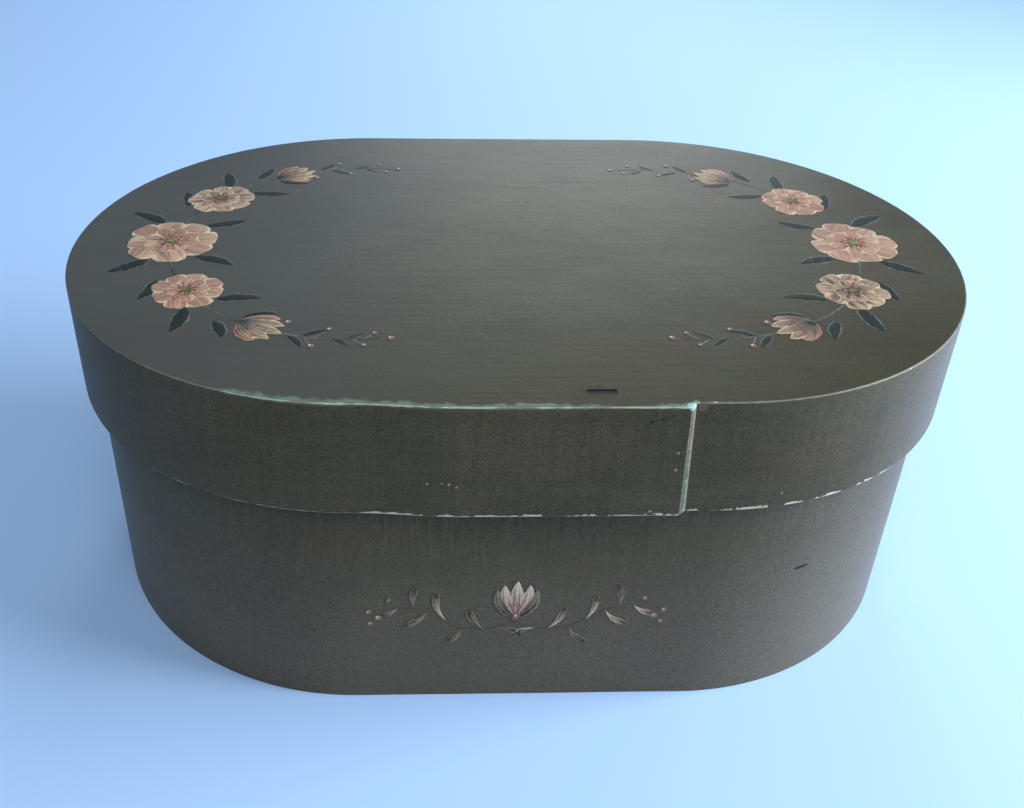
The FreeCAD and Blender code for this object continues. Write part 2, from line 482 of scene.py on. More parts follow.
class BandPaint(OldPaint):
    """The paint on a bent band, whose map runs along it, up its face and down inside."""

    def __init__(self, name, height, threads):
        super().__init__(name, band_brushing, threads)
        self.along, self.up, _ = self.parts(self.add("UVMap", uv_map="strip").outputs[0])
        self.from_foot = self.calc("ABSOLUTE", self.up)
        self.from_rim = self.apart(self.up, height)
        upright = self.grain((1.4 * MM, 1.4 * MM, 40 * MM), detail=4.0, seed=15.0)
        self.colour = self.tone(self.colour, self.vary(upright, 0.9, 1.09))
        self.inner_rim = height + band_thickness

    def paler_low_and_right(self, low_pale_share, sheen_share, sheen_start):
        """Paler grey towards the table and the right end: at the right a painted sheen of the lamp
        on that side, low down partly greyer paint and partly painted light from the sheet.
        """
        low = self.fade(self.z, paling_low_from, paling_low_full, 0.1, low_pale_share)
        right = self.fade(self.x, sheen_start, palest_right_x, 0.0, sheen_share)
        paler_and_lit = self.tone(pale_paint_and_sheen_grey, self.fade(self.grit, 0.32, 0.68, 0.72, 1.28))
        self.colour = self.blend(self.calc("ADD", low, right), self.colour, paler_and_lit)

    def bare_inside(self, reach):
        """Bare birch inside, past a ragged line of paint a little below the rim."""
        ragged = self.grain((9 * MM, 9 * MM, 1.0), detail=4.0, seed=21.0)
        line = self.calc("ADD", self.inner_rim, self.fade(ragged, 0.3, 0.75, 0.2 * reach, reach))
        inside = self.fade(self.calc("SUBTRACT", self.up, line), 0.0, 0.25 * MM)
        self.bare(inside, band_figure)


body_low, body_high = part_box("body_band")
body_paint = BandPaint("old_olive_paint_on_body", body_high.z - body_low.z, 0.45)
upper = body_paint.fade(body_paint.z, combed_from, combed_full)
combed = body_paint.grain((0.8 * MM, 0.8 * MM, 14 * MM), detail=3.0, seed=25.0)
strong = body_paint.grain((60 * MM, 60 * MM, 60 * MM), seed=27.0)
upper = body_paint.calc("MULTIPLY", upper, body_paint.fade(strong, 0.4, 0.6, 0.35, 1.0))
combed = body_paint.calc("MULTIPLY", body_paint.fade(combed, 0.36, 0.64, -0.22, 0.26), upper)
combed = body_paint.calc("ADD", combed, 1.0)
body_paint.colour = body_paint.tone(body_paint.colour, combed)
# Paler grey low down and at the right end: partly greyer paint, partly painted light from the
# sheet below and the lamp on the right.
body_paint.paler_low_and_right(0.55, 0.35, 20 * MM)
rim_rub = body_paint.rub(body_paint.from_rim, 0.7 * MM, 26 * MM, 31.0, cover=0.7)
foot_rub = body_paint.rub(body_paint.from_foot, 0.5 * MM, 30 * MM, 37.0, cover=0.3)
body_paint.lay(rim_rub, teal_coat, 0.8, 0.04 * MM, worn_rough)
body_paint.lay(foot_rub, teal_coat, 0.7, 0.04 * MM, worn_rough)
gouge = body_paint.near(gouge_place, gouge_size, seed=2.0)
body_paint.lay(gouge, gouge_black, 0.9, 0.5 * MM, broken_rough)
body_paint.bare_inside(5 * MM)
body_radius = end_radius + board_fit
body_band = bent_band(
    "painted_body_band", body_radius, body_low.z, body_high.z,
    body_paint.dried(band_gloss), "body", at_back=True,
)
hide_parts("body_band")

# A small scroll is painted on the front of the body: a tulip between two curling stems, in
# greys, white and mauve. Each leaf, petal and berry is one stroke of a round brush loaded
# with two colours, and stands up from the olive paint as a thin dome.
stroke_height = 0.1 * MM
stroke_depth = 0.3 * MM
stroke_steps = 10
stroke_parts = ("root", "tip", "rim")
full_dome_width = 4 * MM
fine_width = 0.9 * MM
bristle_depth = 0.06 * MM
bristle_size = (0.9, 0.08, 0.9)
bristle_scatter = (40, 40, 40)
stroke_gloss = 0.14
scroll_lift = 0.12 * MM
scroll_middle = Vector((-3 * MM, 40 * MM))
scroll_stem = ((0, -6), (12, -14), (23, -5), (33, 3), (42, -3))
leaf_fullness = (0.6, 0.75)
comma_fullness = (0.4, 1.2)
stem_fullness = (0.12, 0.25)
berry_fullness = (0.5, 0.5)
chalk_white = (0.56, 0.54, 0.50)
ash_grey = (0.22, 0.22, 0.20)
mauve = (0.21, 0.125, 0.15)
shadow_brown = (0.045, 0.032, 0.028)
stem_grey = (0.10, 0.095, 0.08)


class BrushPaint(Finish):
    """Two colours off one brush, drawn out in bristle lines from root to tip."""

    def __init__(self, name):
        super().__init__(name)
        mapped = self.add("UVMap", uv_map="stroke").outputs[0]
        ahead, sideways, _ = self.parts(mapped)
        shift = self.add("VectorMath", operation="MULTIPLY_ADD")
        self.feed(shift.inputs[0], self.place)
        shift.inputs[1].default_value = bristle_scatter
        self.feed(shift.inputs[2], mapped)
        bristles = self.grain(bristle_size, detail=3.0, source=shift.outputs[0])
        patchy = self.grain((2 * MM, 2 * MM, 2 * MM), detail=3.0, seed=4.0)
        root, tip, rim = (
            self.add("Attribute", attribute_name=part).outputs["Color"] for part in stroke_parts
        )
        run = self.calc("ADD", ahead, self.vary(bristles, -0.3, 0.3))
        run = self.calc("ADD", run, self.vary(patchy, -0.12, 0.12))
        colour = self.blend(self.fade(run, 0.14, 0.9), root, tip)
        aside = self.apart(sideways, 0.5)
        aside = self.calc("ADD", aside, self.vary(patchy, -0.06, 0.06))
        colour = self.blend(self.fade(aside, 0.32, 0.42, 0.0, 0.85), colour, rim)
        outline = self.fade(aside, 0.45, 0.49, 0.0, 0.75)
        colour = self.blend(outline, colour, self.tone(root, 0.45))
        colour = self.tone(colour, self.vary(bristles, 0.72, 1.14))
        thin = self.fade(patchy, 0.52, 0.72, 0.0, 0.3)
        colour = self.blend(thin, colour, olive_green)
        normal = self.relief(bristles, bristle_depth)
        rough = self.vary(bristles, 0.5, 0.64)
        self.done(colour, rough, normal, Specular_IOR_Level=stroke_gloss)


def along_turn(place, turn, reach, aside=0.0):
    """The point a reach ahead of a place, and to its left, on a heading in degrees."""
    heading = math.radians(turn)
    ahead = Vector((math.cos(heading), math.sin(heading)))
    return Vector(place) + ahead * reach + Vector((-ahead.y, ahead.x)) * aside


def curling(place, turn, length, curl):
    """A line from a place on a heading, its middle pushed aside by a share of its length."""
    bend = along_turn(place, turn, length * 0.5, length * curl)
    return place, bend, along_turn(place, turn, length)


class Painting:
    """Brush strokes laid on one flat ground and gathered in one mesh."""

    def __init__(self, ground):
        self.ground = ground
        self.bm = bmesh.new()
        self.bm.loops.layers.uv.new("stroke")
        for part in stroke_parts:
            self.bm.verts.layers.float_color.new(part)

    def stroke(self, line, width, fullness, colours, lift):
        """One stroke along a bent line, widest where its fullness puts it."""
        start, bend, end = (Vector(point).to_3d() for point in line)
        swell, taper = fullness
        widest = (swell / (swell + taper)) ** swell * (taper / (swell + taper)) ** taper
        dome = stroke_height * min(width / full_dome_width, 1.0)
        lanes = 2 if width < fine_width else 6
        grid = bmesh.ops.create_grid(
            self.bm, x_segments=stroke_steps, y_segments=lanes, size=0.5, calc_uvs=True,
        )["verts"]
        faces = list(dict.fromkeys(face for vert in grid for face in vert.link_faces))
        for vert in grid:
            run = (1 - math.cos(math.pi * min(max(vert.co.x + 0.5, 0.02), 0.98))) / 2
            aside = 2 * vert.co.y
            middle = start.lerp(bend, run).lerp(bend.lerp(end, run), run)
            ahead = (bend - start).lerp(end - bend, run).normalized()
            reach = width / 2 * run ** swell * (1 - run) ** taper / widest
            place = middle + Vector((-ahead.y, ahead.x, 0)) * reach * aside
            place.z = lift + dome * (1 - aside ** 2)
            vert.co = place
        shell = bmesh.ops.solidify(self.bm, geom=faces, thickness=stroke_depth)["geom"]
        whole = set(grid)
        whole.update(v for v in shell if isinstance(v, bmesh.types.BMVert))
        bmesh.ops.transform(self.bm, matrix=self.ground, verts=list(whole))
        for part, colour in zip(stroke_parts, colours):
            layer = self.bm.verts.layers.float_color[part]
            for vert in whole:
                vert[layer] = colour + (1.0,)

    def comma(self, place, turn, length, width, colours, lift, curl=0.25):
        """A comma stroke: a round head drawn out into a curling tail."""
        self.stroke(curling(place, turn, length, curl), width, comma_fullness, colours, lift)

    def dab(self, place, turn, half_length, width, colours, lift):
        """A short fat stroke, set down round a place."""
        line = [along_turn(place, turn, half_length * step) for step in (-1, 0, 1)]
        self.stroke(line, width, berry_fullness, colours, lift)

    def berry(self, place, size, colours, lift):
        """A round dab with a small light dot."""
        self.dab(place, 60, size * 0.5, size, colours, lift)
        spot = along_turn(place, 110, size * 0.18)
        self.dab(spot, 60, size * 0.14, size * 0.3, (chalk_white,) * 3, lift + 0.12 * MM)


def scroll_place(x, y):
    """A place on the body's front, from millimetres right of and above the scroll's middle."""
    return scroll_middle + Vector((x, y)) * MM


front_ground = (
    Matrix.Translation((0, middle_y - body_radius - band_thickness - scroll_lift, 0))
    @ Matrix.Rotation(math.pi / 2, 4, "X")
)
scroll = Painting(front_ground)
dice = random.Random(4)
grey_leaf = (shadow_brown, ash_grey, ash_grey)
white_leaf = (shadow_brown, chalk_white, ash_grey)
white_petal = (mauve, chalk_white, chalk_white)
for side in (-1, 1):
    stem = [scroll_place(side * x, y) for x, y in scroll_stem]
    for line, width in ((stem[:3], 1.0 * MM), (stem[2:], 0.7 * MM)):
        scroll.stroke(line, width, stem_fullness, (stem_grey,) * 3, 0.0)
    for x, y, turn, length in (
        (6, -9, 205, 9), (10, -9.5, 60, 10), (17, -9, -50, 8), (22, -5.5, 75, 11),
        (28, -1.5, -40, 9), (32, 0.5, 95, 8), (37, 0.5, -30, 7),
    ):
        turn = turn if side > 0 else 180 - turn
        length = length * dice.uniform(0.9, 1.1) * MM
        root = along_turn(scroll_place(side * x, y), turn, length)
        colours = grey_leaf if dice.random() < 0.6 else white_leaf
        scroll.comma(root, turn + 180, length, 2.6 * MM, colours, 0.03 * MM, curl=0.22 * side)
    for x, y, size in ((43.5, -4, 2.4), (46.5, -1.5, 1.9), (46, -6.5, 1.7), (40, 3.5, 1.6)):
        place = scroll_place(side * x, y)
        scroll.berry(place, size * MM, (mauve, ash_grey, mauve), 0.05 * MM)
foot = scroll_place(0, -4)
for turn, length, width, colours in (
    (128, 13, 4.2, grey_leaf), (52, 13, 4.2, grey_leaf), (112, 14, 4.0, white_petal),
    (68, 14, 4.0, white_petal), (90, 15, 4.4, white_petal),
):
    bend = along_turn(foot, turn, length * 0.55 * MM, (turn - 90) * 0.06 * MM)
    end = along_turn(foot, 90 + (turn - 90) * 0.75, length * MM)
    scroll.stroke((foot, bend, end), width * MM, leaf_fullness, colours, 0.06 * MM)
scroll.berry(foot, 3.2 * MM, (mauve, mauve, shadow_brown), 0.12 * MM)
scroll_paint = BrushPaint("grey_and_mauve_strokes")
settle(scroll.bm, "painted_front_scroll", scroll_paint.material, "body")

# The lid board is a flat oval of plywood, set inside the upper edge of the lid band and
# resting on the rim of the body. Its top was filled level with the band and painted with it,
# in long strokes along the box. Its underside is bare. A sliver has broken out of its edge.
lid_low, lid_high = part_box("lid_board")
lid_radius = (lid_high.y - lid_low.y) / 2 + board_fit
lid_edge = lid_radius + band_thickness
skin_thickness = 0.25 * MM
skin_reach = band_thickness - edge_round
board_room = 0.05 * MM
level_room = 0.01 * MM
end_steps = 96
lap_cuts = 9
sliver_middle = (17.0 * MM, -90.6 * MM)
sliver_size = (8.2 * MM, 2.3 * MM)
sliver_depth = 0.2 * MM
sliver_halo_size = (5.6 * MM, 2.9 * MM, 9 * MM)
blob_size = (2.0 * MM, 1.5 * MM, 2 * MM)
blob_depth = 0.1 * MM
blob_rough = 0.5
lid_brushing = (50 * MM, 1.5 * MM, 1.5 * MM)
lid_gloss = 0.11
front_from = -60 * MM
front_full = -88 * MM
worn_and_highlit_olive = (0.20, 0.205, 0.17)
chip_and_glint_white = (0.50, 0.56, 0.53)
pale_coat = (0.30, 0.40, 0.36)
blob_cyan = (0.24, 0.46, 0.48)
moss_green = (0.050, 0.055, 0.030)
bark_brown = (0.038, 0.030, 0.016)
painted_front_shade_olive = (0.030, 0.027, 0.009)
painted_blue_reflection_grey = (0.062, 0.070, 0.074)
sliver_shade_brown = (0.014, 0.011, 0.007)


def flat_oval(radius, level):
    """The outline of a flat oval, spun at both ends and closed with one face."""
    bm = bmesh.new()
    start = bm.verts.new((-half_straight, middle_y - radius, level))
    for side in (1, -1):
        run = bmesh.ops.extrude_vert_indiv(bm, verts=[start])["verts"][0]
        run.co.x = side * half_straight
        turned = bmesh.ops.spin(
            bm, geom=[run], cent=(side * half_straight, middle_y, level), axis=(0, 0, 1),
            angle=math.pi, steps=end_steps, use_duplicate=False,
        )
        start = [v for v in turned["geom_last"] if isinstance(v, bmesh.types.BMVert)][0]
    bmesh.ops.remove_doubles(bm, verts=bm.verts, dist=level_room)
    bmesh.ops.contextual_create(bm, geom=bm.edges)
    return bm


def lift_face(bm, height):
    """Extrude the highest face straight up, and return its new corners."""
    top = max(bm.faces, key=lambda face: face.calc_center_median().z)
    closed = len(bm.faces) > 1
    raised = bmesh.ops.extrude_face_region(bm, geom=[top])["geom"]
    if closed:
        bmesh.ops.delete(bm, geom=[top], context="FACES_ONLY")
    corners = [v for v in raised if isinstance(v, bmesh.types.BMVert)]
    bmesh.ops.translate(bm, vec=(0, 0, height), verts=corners)
    return corners


def top_faces(bm):
    """The faces that lie level with the lid's top."""
    return [f for f in bm.faces if f.calc_center_median().z > lid_high.z - level_room]


def split_at(bm, geometry, place, facing):
    """Cut some of a mesh where a plane crosses it."""
    edges = {e for f in geometry for e in f.edges}
    verts = {v for f in geometry for v in f.verts}
    everything = list(geometry) + list(edges) + list(verts)
    bmesh.ops.bisect_plane(bm, geom=everything, dist=cut_snap, plane_co=place, plane_no=facing)


def lap_bulge(along):
    """How far the lap's outer face stands out from the band at a place along the front."""
    if along > lap_reach:
        return 0.0
    planed = max(along - (lap_reach - lap_bevel), 0.0) / lap_bevel
    return climb(along) - planed * (band_thickness - lap_end_edge)


def wear_top_edge(paint, away, veil_width):
    """The top edge's wear: a thin teal veil and a pale core, heaviest along the front, over a pale
    line that is partly paint rubbed thin and partly a painted highlight on the rounded edge.
    """
    front = paint.fade(paint.y, front_from, front_full, 0.25, 1.0)
    past_left_end = paint.fade(paint.x, -84 * MM, -90 * MM, 1.0, 0.0)
    before_lap = paint.fade(paint.x, lap_reach + 2 * MM, lap_reach, 0.0, 1.0)
    share = paint.calc("MULTIPLY", front, paint.calc("MULTIPLY", past_left_end, before_lap))
    veil = paint.rub(away, veil_width, 45 * MM, 41.0, share, cover=1.2, soft=0.9 * MM)
    core = paint.rub(away, 0.55 * MM, 12 * MM, 43.0, share, cover=0.75)
    plain = paint.rub(away, 0.6 * MM, 30 * MM, 53.0, front, cover=0.9, soft=0.25 * MM)
    nicks = paint.rub(away, 0.8 * MM, 5 * MM, 57.0, front, cover=-0.05)
    paint.lay(veil, teal_coat, 0.5)
    # The pale line along the top edge is partly rubbed paint and partly a painted highlight on the
    # rounding.
    paint.lay(plain, worn_and_highlit_olive, 0.6, 0.03 * MM, worn_rough)
    paint.lay(core, pale_coat, 0.8, 0.05 * MM, worn_rough)
    paint.lay(nicks, chip_and_glint_white, 0.7, 0.05 * MM, worn_rough)


bm = flat_oval(lid_radius - board_room, lid_low.z)
steps = [lap_rise_start + lap_rise_length * step / lap_cuts for step in range(lap_cuts + 1)]
steps += [lap_reach - lap_bevel, lap_reach - 0.1 * MM, lap_reach + 0.1 * MM]
for step in steps:
    split_at(bm, bm.faces[:], (step, 0, 0), (1, 0, 0))
bmesh.ops.dissolve_edges(bm, edges=[e for e in bm.edges if len(e.link_faces) == 2])
lift_face(bm, lid_high.z - lid_low.z - skin_thickness)
spread = lift_face(bm, 0.0)
for vert in spread:
    beyond = max(abs(vert.co.x) - half_straight, 0.0)
    outward = Vector((math.copysign(beyond, vert.co.x), vert.co.y - middle_y, 0)).normalized()
    bulge = lap_bulge(vert.co.x) if vert.co.y < middle_y else 0.0
    vert.co += outward * (skin_reach + board_room + bulge)
lift_face(bm, skin_thickness)
for axis, facing in ((0, (1, 0, 0)), (1, (0, 1, 0))):
    for side in (-1, 1):
        place = [0, 0, 0]
        place[axis] = sliver_middle[axis] + side * sliver_size[axis] / 2
        split_at(bm, top_faces(bm), place, facing)
sliver = min(
    top_faces(bm),
    key=lambda face: (face.calc_center_median().xy - Vector(sliver_middle)).length,
)
sunk = bmesh.ops.extrude_face_region(bm, geom=[sliver])["geom"]
bmesh.ops.delete(bm, geom=[sliver], context="FACES_ONLY")
floor_corners = [v for v in sunk if isinstance(v, bmesh.types.BMVert)]
bmesh.ops.translate(bm, vec=(0, 0, -sliver_depth), verts=floor_corners)

top_paint = OldPaint("old_olive_paint_on_lid", lid_brushing, 0.06)
beyond = top_paint.calc("ABSOLUTE", top_paint.x)
beyond = top_paint.calc("MAXIMUM", top_paint.calc("SUBTRACT", beyond, half_straight), 0.0)
across = top_paint.calc("SUBTRACT", top_paint.y, middle_y)
squares = [top_paint.calc("MULTIPLY", part, part) for part in (beyond, across)]
from_centre = top_paint.calc("SQRT", top_paint.calc("ADD", squares[0], squares[1]))
from_edge = top_paint.calc("SUBTRACT", lid_edge, from_centre)
green = top_paint.grain((70 * MM, 45 * MM, 1.0), detail=4.0, rough=0.6, seed=14.0)
brown = top_paint.grain((60 * MM, 40 * MM, 1.0), detail=4.0, rough=0.6, seed=17.0)
top_paint.lay(top_paint.fade(green, 0.42, 0.66), moss_green, 0.6)
top_paint.lay(top_paint.fade(brown, 0.46, 0.66), bark_brown, 0.6)
# Darker towards the front of the lid top: painted shade, where the satin paint reflects less of
# the room.
top_paint.lay(top_paint.fade(across, -10 * MM, -80 * MM), painted_front_shade_olive, 0.6)
# Bluer grey towards the left of the lid top: a painted reflection of the blue room on that side.
top_paint.lay(top_paint.fade(top_paint.x, 5 * MM, -85 * MM), painted_blue_reflection_grey, 0.55)
bulge = top_paint.fade(
    top_paint.x, lap_rise_start, lap_rise_start + lap_rise_length,
    0.0, band_thickness + lap_glue_gap,
)
ended = top_paint.fade(top_paint.x, lap_reach, lap_reach - lap_bevel)
bulge = top_paint.calc("MULTIPLY", bulge, ended)
bulge = top_paint.calc("MULTIPLY", bulge, top_paint.fade(across, 0.0, -10 * MM))
wear_top_edge(top_paint, top_paint.calc("ADD", from_edge, bulge), 2.6 * MM)
blob_place = (lap_reach - 1.0 * MM, middle_y - lid_edge - 1.4 * MM, lid_high.z)
blob = top_paint.near(blob_place, blob_size, warp=0.5, seed=3.0)
top_paint.lay(blob, blob_cyan, 0.9, blob_depth, blob_rough)
# The sliver's floor, and a soft ring round it, are painted near-black brown: painted shade in the
# hollow, over the broken wood.
broken = top_paint.fade(top_paint.z, lid_high.z - 0.03 * MM, lid_high.z - 0.16 * MM)
top_paint.lay(broken, sliver_shade_brown, 0.95)
sliver_shade_halo = top_paint.near(sliver_middle + (lid_high.z,), sliver_halo_size, warp=1.1, seed=8.0)
top_paint.lay(sliver_shade_halo, sliver_shade_brown, 0.5)
underside = top_paint.fade(top_paint.z, lid_low.z + 0.4 * MM, lid_low.z + 0.2 * MM)
top_paint.bare(underside, board_figure)
lid_board = settle(bm, "painted_lid_board", top_paint.dried(lid_gloss), "lid")
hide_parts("lid_board")

# Two garlands are painted on the lid, one round each end: a double rosette between two
# smaller ones, with leaves, and tulips and berries trailing off towards the middle. They are
# in cream, pink and salmon over dark leaves, laid on in the same single strokes.
garland_radius = 64 * MM
petal_fullness = (0.8, 0.32)
petal_rows = ((1.0, 0.05), (0.62, 0.14))
row_petals = 8
heart_dots = 11
vein_width = 0.42 * MM
rib_width = 0.4 * MM
tendril_width = 0.5 * MM
cream = (0.34, 0.27, 0.195)
old_pink = (0.33, 0.15, 0.135)
salmon = (0.33, 0.23, 0.165)
rose_brown = (0.085, 0.05, 0.042)
leaf_dark = (0.008, 0.015, 0.011)
leaf_rim = (0.12, 0.13, 0.115)
lime = (0.15, 0.19, 0.045)
warm_white = (0.52, 0.47, 0.35)
lid_ground = Matrix.Translation((0, 0, lid_high.z))


def rosette(garland, place, size, colours, heart, start):
    """Two rows of petals, each with three veins, round a dotted heart."""
    root, tip, rim = colours
    for row, (reach, lift) in enumerate(petal_rows):
        for petal in range(row_petals):
            turn = start + (petal + row / 2) * 360 / row_petals + dice.uniform(-4, 4)
            length = size * reach * dice.uniform(0.93, 1.05)
            line = (
                along_turn(place, turn, size * 0.1),
                along_turn(place, turn, length * 0.55, length * dice.uniform(-0.08, 0.08)),
                along_turn(place, turn, length),
            )
            shade, blush = dice.uniform(0.74, 1.14), dice.uniform(0.0, 0.3)
            fresh = tuple(
                (part + (pink - part) * blush) * shade for part, pink in zip(tip, old_pink)
            )
            height = (lift + 0.008 * (petal % 2) + dice.uniform(0, 0.006)) * MM
            mix = (root, fresh, rim)
            garland.stroke(line, length * 0.74, petal_fullness, mix, height)
            for lean in (-15, 0, 15):
                drawn = length * dice.uniform(0.5, 0.75)
                vein = (
                    along_turn(place, turn + lean, size * 0.14),
                    along_turn(place, turn + lean, drawn * 0.6),
                    along_turn(place, turn + lean * 0.7, drawn),
                )
                over = height + 0.85 * stroke_height
                garland.stroke(vein, vein_width, stem_fullness, (rose_brown,) * 3, over)
    garland.dab(place, 20, size * 0.13, size * 0.26, heart, 0.3 * MM)
    for dot in range(heart_dots):
        reach = size * dice.uniform(0.2, 0.28)
        spot = along_turn(place, start + dot * 360 / heart_dots, reach)
        mix = (rose_brown,) * 3 if dot % 2 else (lime, warm_white, lime)
        garland.dab(spot, 0, size * 0.03, size * 0.065, mix, 0.33 * MM)


def leaf(garland, place, turn, length, width, curl):
    """A dark leaf with a pale outline and a thin pale rib."""
    line = curling(place, turn, length, curl)
    colours = (leaf_dark, leaf_dark, leaf_rim)
    garland.stroke(line, width, leaf_fullness, colours, dice.uniform(0, 0.02) * MM)
    rib = (along_turn(place, turn, length * 0.08), line[1], along_turn(place, turn, length * 0.85))
    garland.stroke(rib, rib_width, stem_fullness, (leaf_rim,) * 3, 0.06 * MM)


def tulip(garland, place, turn, size, outer, inner):
    """Five petals fanned out of one cup."""
    for spread, reach, colours, lift in (
        (48, 0.85, outer, 0.05), (-48, 0.85, outer, 0.06), (24, 0.98, inner, 0.09),
        (-24, 0.98, inner, 0.10), (0, 1.05, inner, 0.13),
    ):
        side = turn + spread
        bend = along_turn(place, side, size * 0.55, size * spread * 0.002)
        line = (place, bend, along_turn(place, turn + spread * 0.72, size * reach))
        garland.stroke(line, size * 0.36, leaf_fullness, colours, lift * MM)
    cup = (leaf_dark, leaf_rim, leaf_rim)
    for spread in (-30, 30):
        garland.comma(place, turn + spread, size * 0.4, size * 0.2, cup, 0.2 * MM)


def painted_garland(side):
    """The garland round one end of the lid."""
    garland = Painting(lid_ground)

    def spot(angle, out=0.0):
        radius = garland_radius + out * MM
        x = half_straight + radius * math.cos(math.radians(angle))
        return Vector((side * x, middle_y + radius * math.sin(math.radians(angle))))

    def heading(angle, lean):
        turn = angle + 90 + lean if angle >= 0 else angle - 90 - lean
        return turn if side > 0 else 180 - turn

    for way in (-1, 1):
        for near, far, width in ((0, 36, 1.3), (36, 68, 1.1), (68, 99, 0.8)):
            line = [spot(way * near), spot(way * (near + far) / 2, 3), spot(way * far)]
            stem = [leaf_rim, leaf_dark, leaf_dark]
            garland.stroke(line, width * MM, stem_fullness, stem, 0.01 * MM)
        for angle, out, lean, length, width in (
            (11, 7, -62, 15, 6.5), (12, -8, 58, 14, 6), (24, 6, -40, 13, 5.5),
            (41, 5, -48, 14, 6), (43, -5, 50, 14, 5.5), (52, 4, -30, 11, 4.6),
            (57, -3, 42, 11, 4.6), (73, 1, -38, 8, 3.2), (77, 0, 40, 8, 3.2),
            (85, 0, -34, 6.5, 2.6), (89, 0, 38, 6, 2.4),
        ):
            angle *= way
            turn = heading(angle, lean + dice.uniform(-5, 5))
            length = length * dice.uniform(0.92, 1.08) * MM
            leaf(garland, spot(angle, out), turn, length, width * MM, 0.1 * side * way)
        for angle, out, size in (
            (66, 6, 3.0), (70, -6, 2.7), (80, 5, 2.4), (83, -5, 2.2), (93, 3.6, 2.0),
            (96, -3, 1.9), (100, 0.5, 2.6),
        ):
            place = spot(way * angle, out)
            line = [spot(way * (angle - 3)), spot(way * (angle - 1), out * 0.6), place]
            green = (leaf_rim,) * 3
            garland.stroke(line, tendril_width, stem_fullness, green, 0.01 * MM)
            garland.berry(place, size * MM, (rose_brown, mauve, rose_brown), 0.05 * MM)
        outer = (rose_brown, salmon, old_pink)
        inner = (rose_brown, cream, warm_white)
        tulip(garland, spot(way * 58), heading(way * 58, 4), 14 * MM, outer, inner)
        heart = (lime, rose_brown, rose_brown)
        mix = (old_pink, salmon, warm_white) if way * side > 0 else inner
        rosette(garland, spot(way * 33, -0.5), 11.5 * MM, mix, heart, 10 * way)
    mix = (old_pink, cream, warm_white)
    rosette(garland, spot(0, 1), 15 * MM, mix, (lime, lime, rose_brown), 8)
    return garland.bm


flower_paint = BrushPaint("cream_and_pink_strokes")
for side, name in ((-1, "painted_left_garland"), (1, "painted_right_garland")):
    settle(painted_garland(side), name, flower_paint.material, "lid")

# The lid band is a shorter strip bent and lapped like the body's, with its lap in front. Its
# top corner and lower rim are rubbed through to the teal coat, most of all along the front,
# and the planed end of its outer layer shows grey filler and a chipped top corner.
ridge_drop = 0.9 * MM
ridge_middle = -45 * MM
spot_reach = 9 * MM
corner_blob_size = (1.9 * MM, 2.4 * MM, 1.8 * MM)
chip_size = (1.7 * MM, 1.8 * MM, 2.9 * MM)
film_room = 0.04 * MM
filler_grey = (0.115, 0.115, 0.095)
filler_teal = (0.072, 0.108, 0.092)
filler_pale = (0.22, 0.235, 0.205)
pit_brown = (0.014, 0.013, 0.010)
bare_edge_brown = (0.12, 0.10, 0.065)
band_low, band_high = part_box("lid_band")
front_y = middle_y - lid_edge - band_thickness - lap_glue_gap


def front_spots(rows):
    """Ragged spots on the lid's front, from places, heights and sizes in millimetres."""
    found = 0.0
    for x, z, size in rows:
        sizes = (size * MM, spot_reach, size * MM)
        spot = lid_paint.near((x * MM, front_y, z * MM), sizes, seed=x)
        found = lid_paint.calc("MAXIMUM", spot, found)
    return found


lid_paint = BandPaint("old_olive_paint_on_lid_band", band_high.z - band_low.z, 0.15)
# Paler grey towards the lid band's right end: a painted sheen of the lamp on that side.
lid_paint.paler_low_and_right(0.08, 0.47, 92 * MM)
wear_top_edge(lid_paint, lid_paint.from_rim, 0.7 * MM)
ridge = lid_paint.calc("SUBTRACT", lid_paint.from_rim, ridge_drop)
wavy = lid_paint.grain((12 * MM, 12 * MM, 12 * MM), detail=2.0, seed=71.0)
ridge = lid_paint.calc("ADD", ridge, lid_paint.vary(wavy, -0.7 * MM, 0.4 * MM))
ridge = lid_paint.calc("ABSOLUTE", ridge)
middle = lid_paint.fade(lid_paint.apart(lid_paint.x, ridge_middle), 26 * MM, 18 * MM)
ridge = lid_paint.rub(ridge, 0.35 * MM, 20 * MM, 73.0, middle, cover=1.3)
lid_paint.lay(ridge, filler_grey, 0.4, -0.1 * MM)
in_front = lid_paint.fade(lid_paint.y, front_from, front_full, 0.3, 1.0)
thin = lid_paint.rub(lid_paint.from_foot, 0.5 * MM, 30 * MM, 49.0, in_front, cover=1.0)
lid_paint.lay(thin, worn_and_highlit_olive, 0.7, 0.03 * MM, worn_rough)
in_middle = lid_paint.fade(lid_paint.x, -56 * MM, -46 * MM, 0.45, 1.0)
in_middle = lid_paint.calc("MULTIPLY", in_front, in_middle)
lower = lid_paint.rub(lid_paint.from_foot, 1.4 * MM, 7 * MM, 47.0, in_middle, cover=0.75)
lid_paint.lay(lower, chip_and_glint_white, 0.95, 0.05 * MM, worn_rough)
strip_end = oval_length(lid_radius) + lap_reach - lap_tail_place
slope_start = strip_end - lap_bevel
chipped = lid_paint.grain((4 * MM, 4 * MM, 0.9 * MM), detail=3.0, seed=61.0)
chipped = lid_paint.fade(chipped, 0.35, 0.7, -0.3 * MM, 0.5 * MM)
chipped = lid_paint.calc("ADD", lid_paint.along, chipped)
slope = lid_paint.fade(chipped, slope_start - 0.1 * MM, slope_start + 0.1 * MM)
low_down = lid_paint.fade(lid_paint.up, 30 * MM, 18 * MM)
filler = lid_paint.blend(low_down, filler_grey, filler_teal)
lid_paint.lay(slope, filler, 0.85)
end_line = lid_paint.fade(chipped, strip_end - 0.55 * MM, strip_end - 0.35 * MM)
lid_paint.lay(end_line, filler_pale, 0.8, 0.04 * MM, worn_rough)
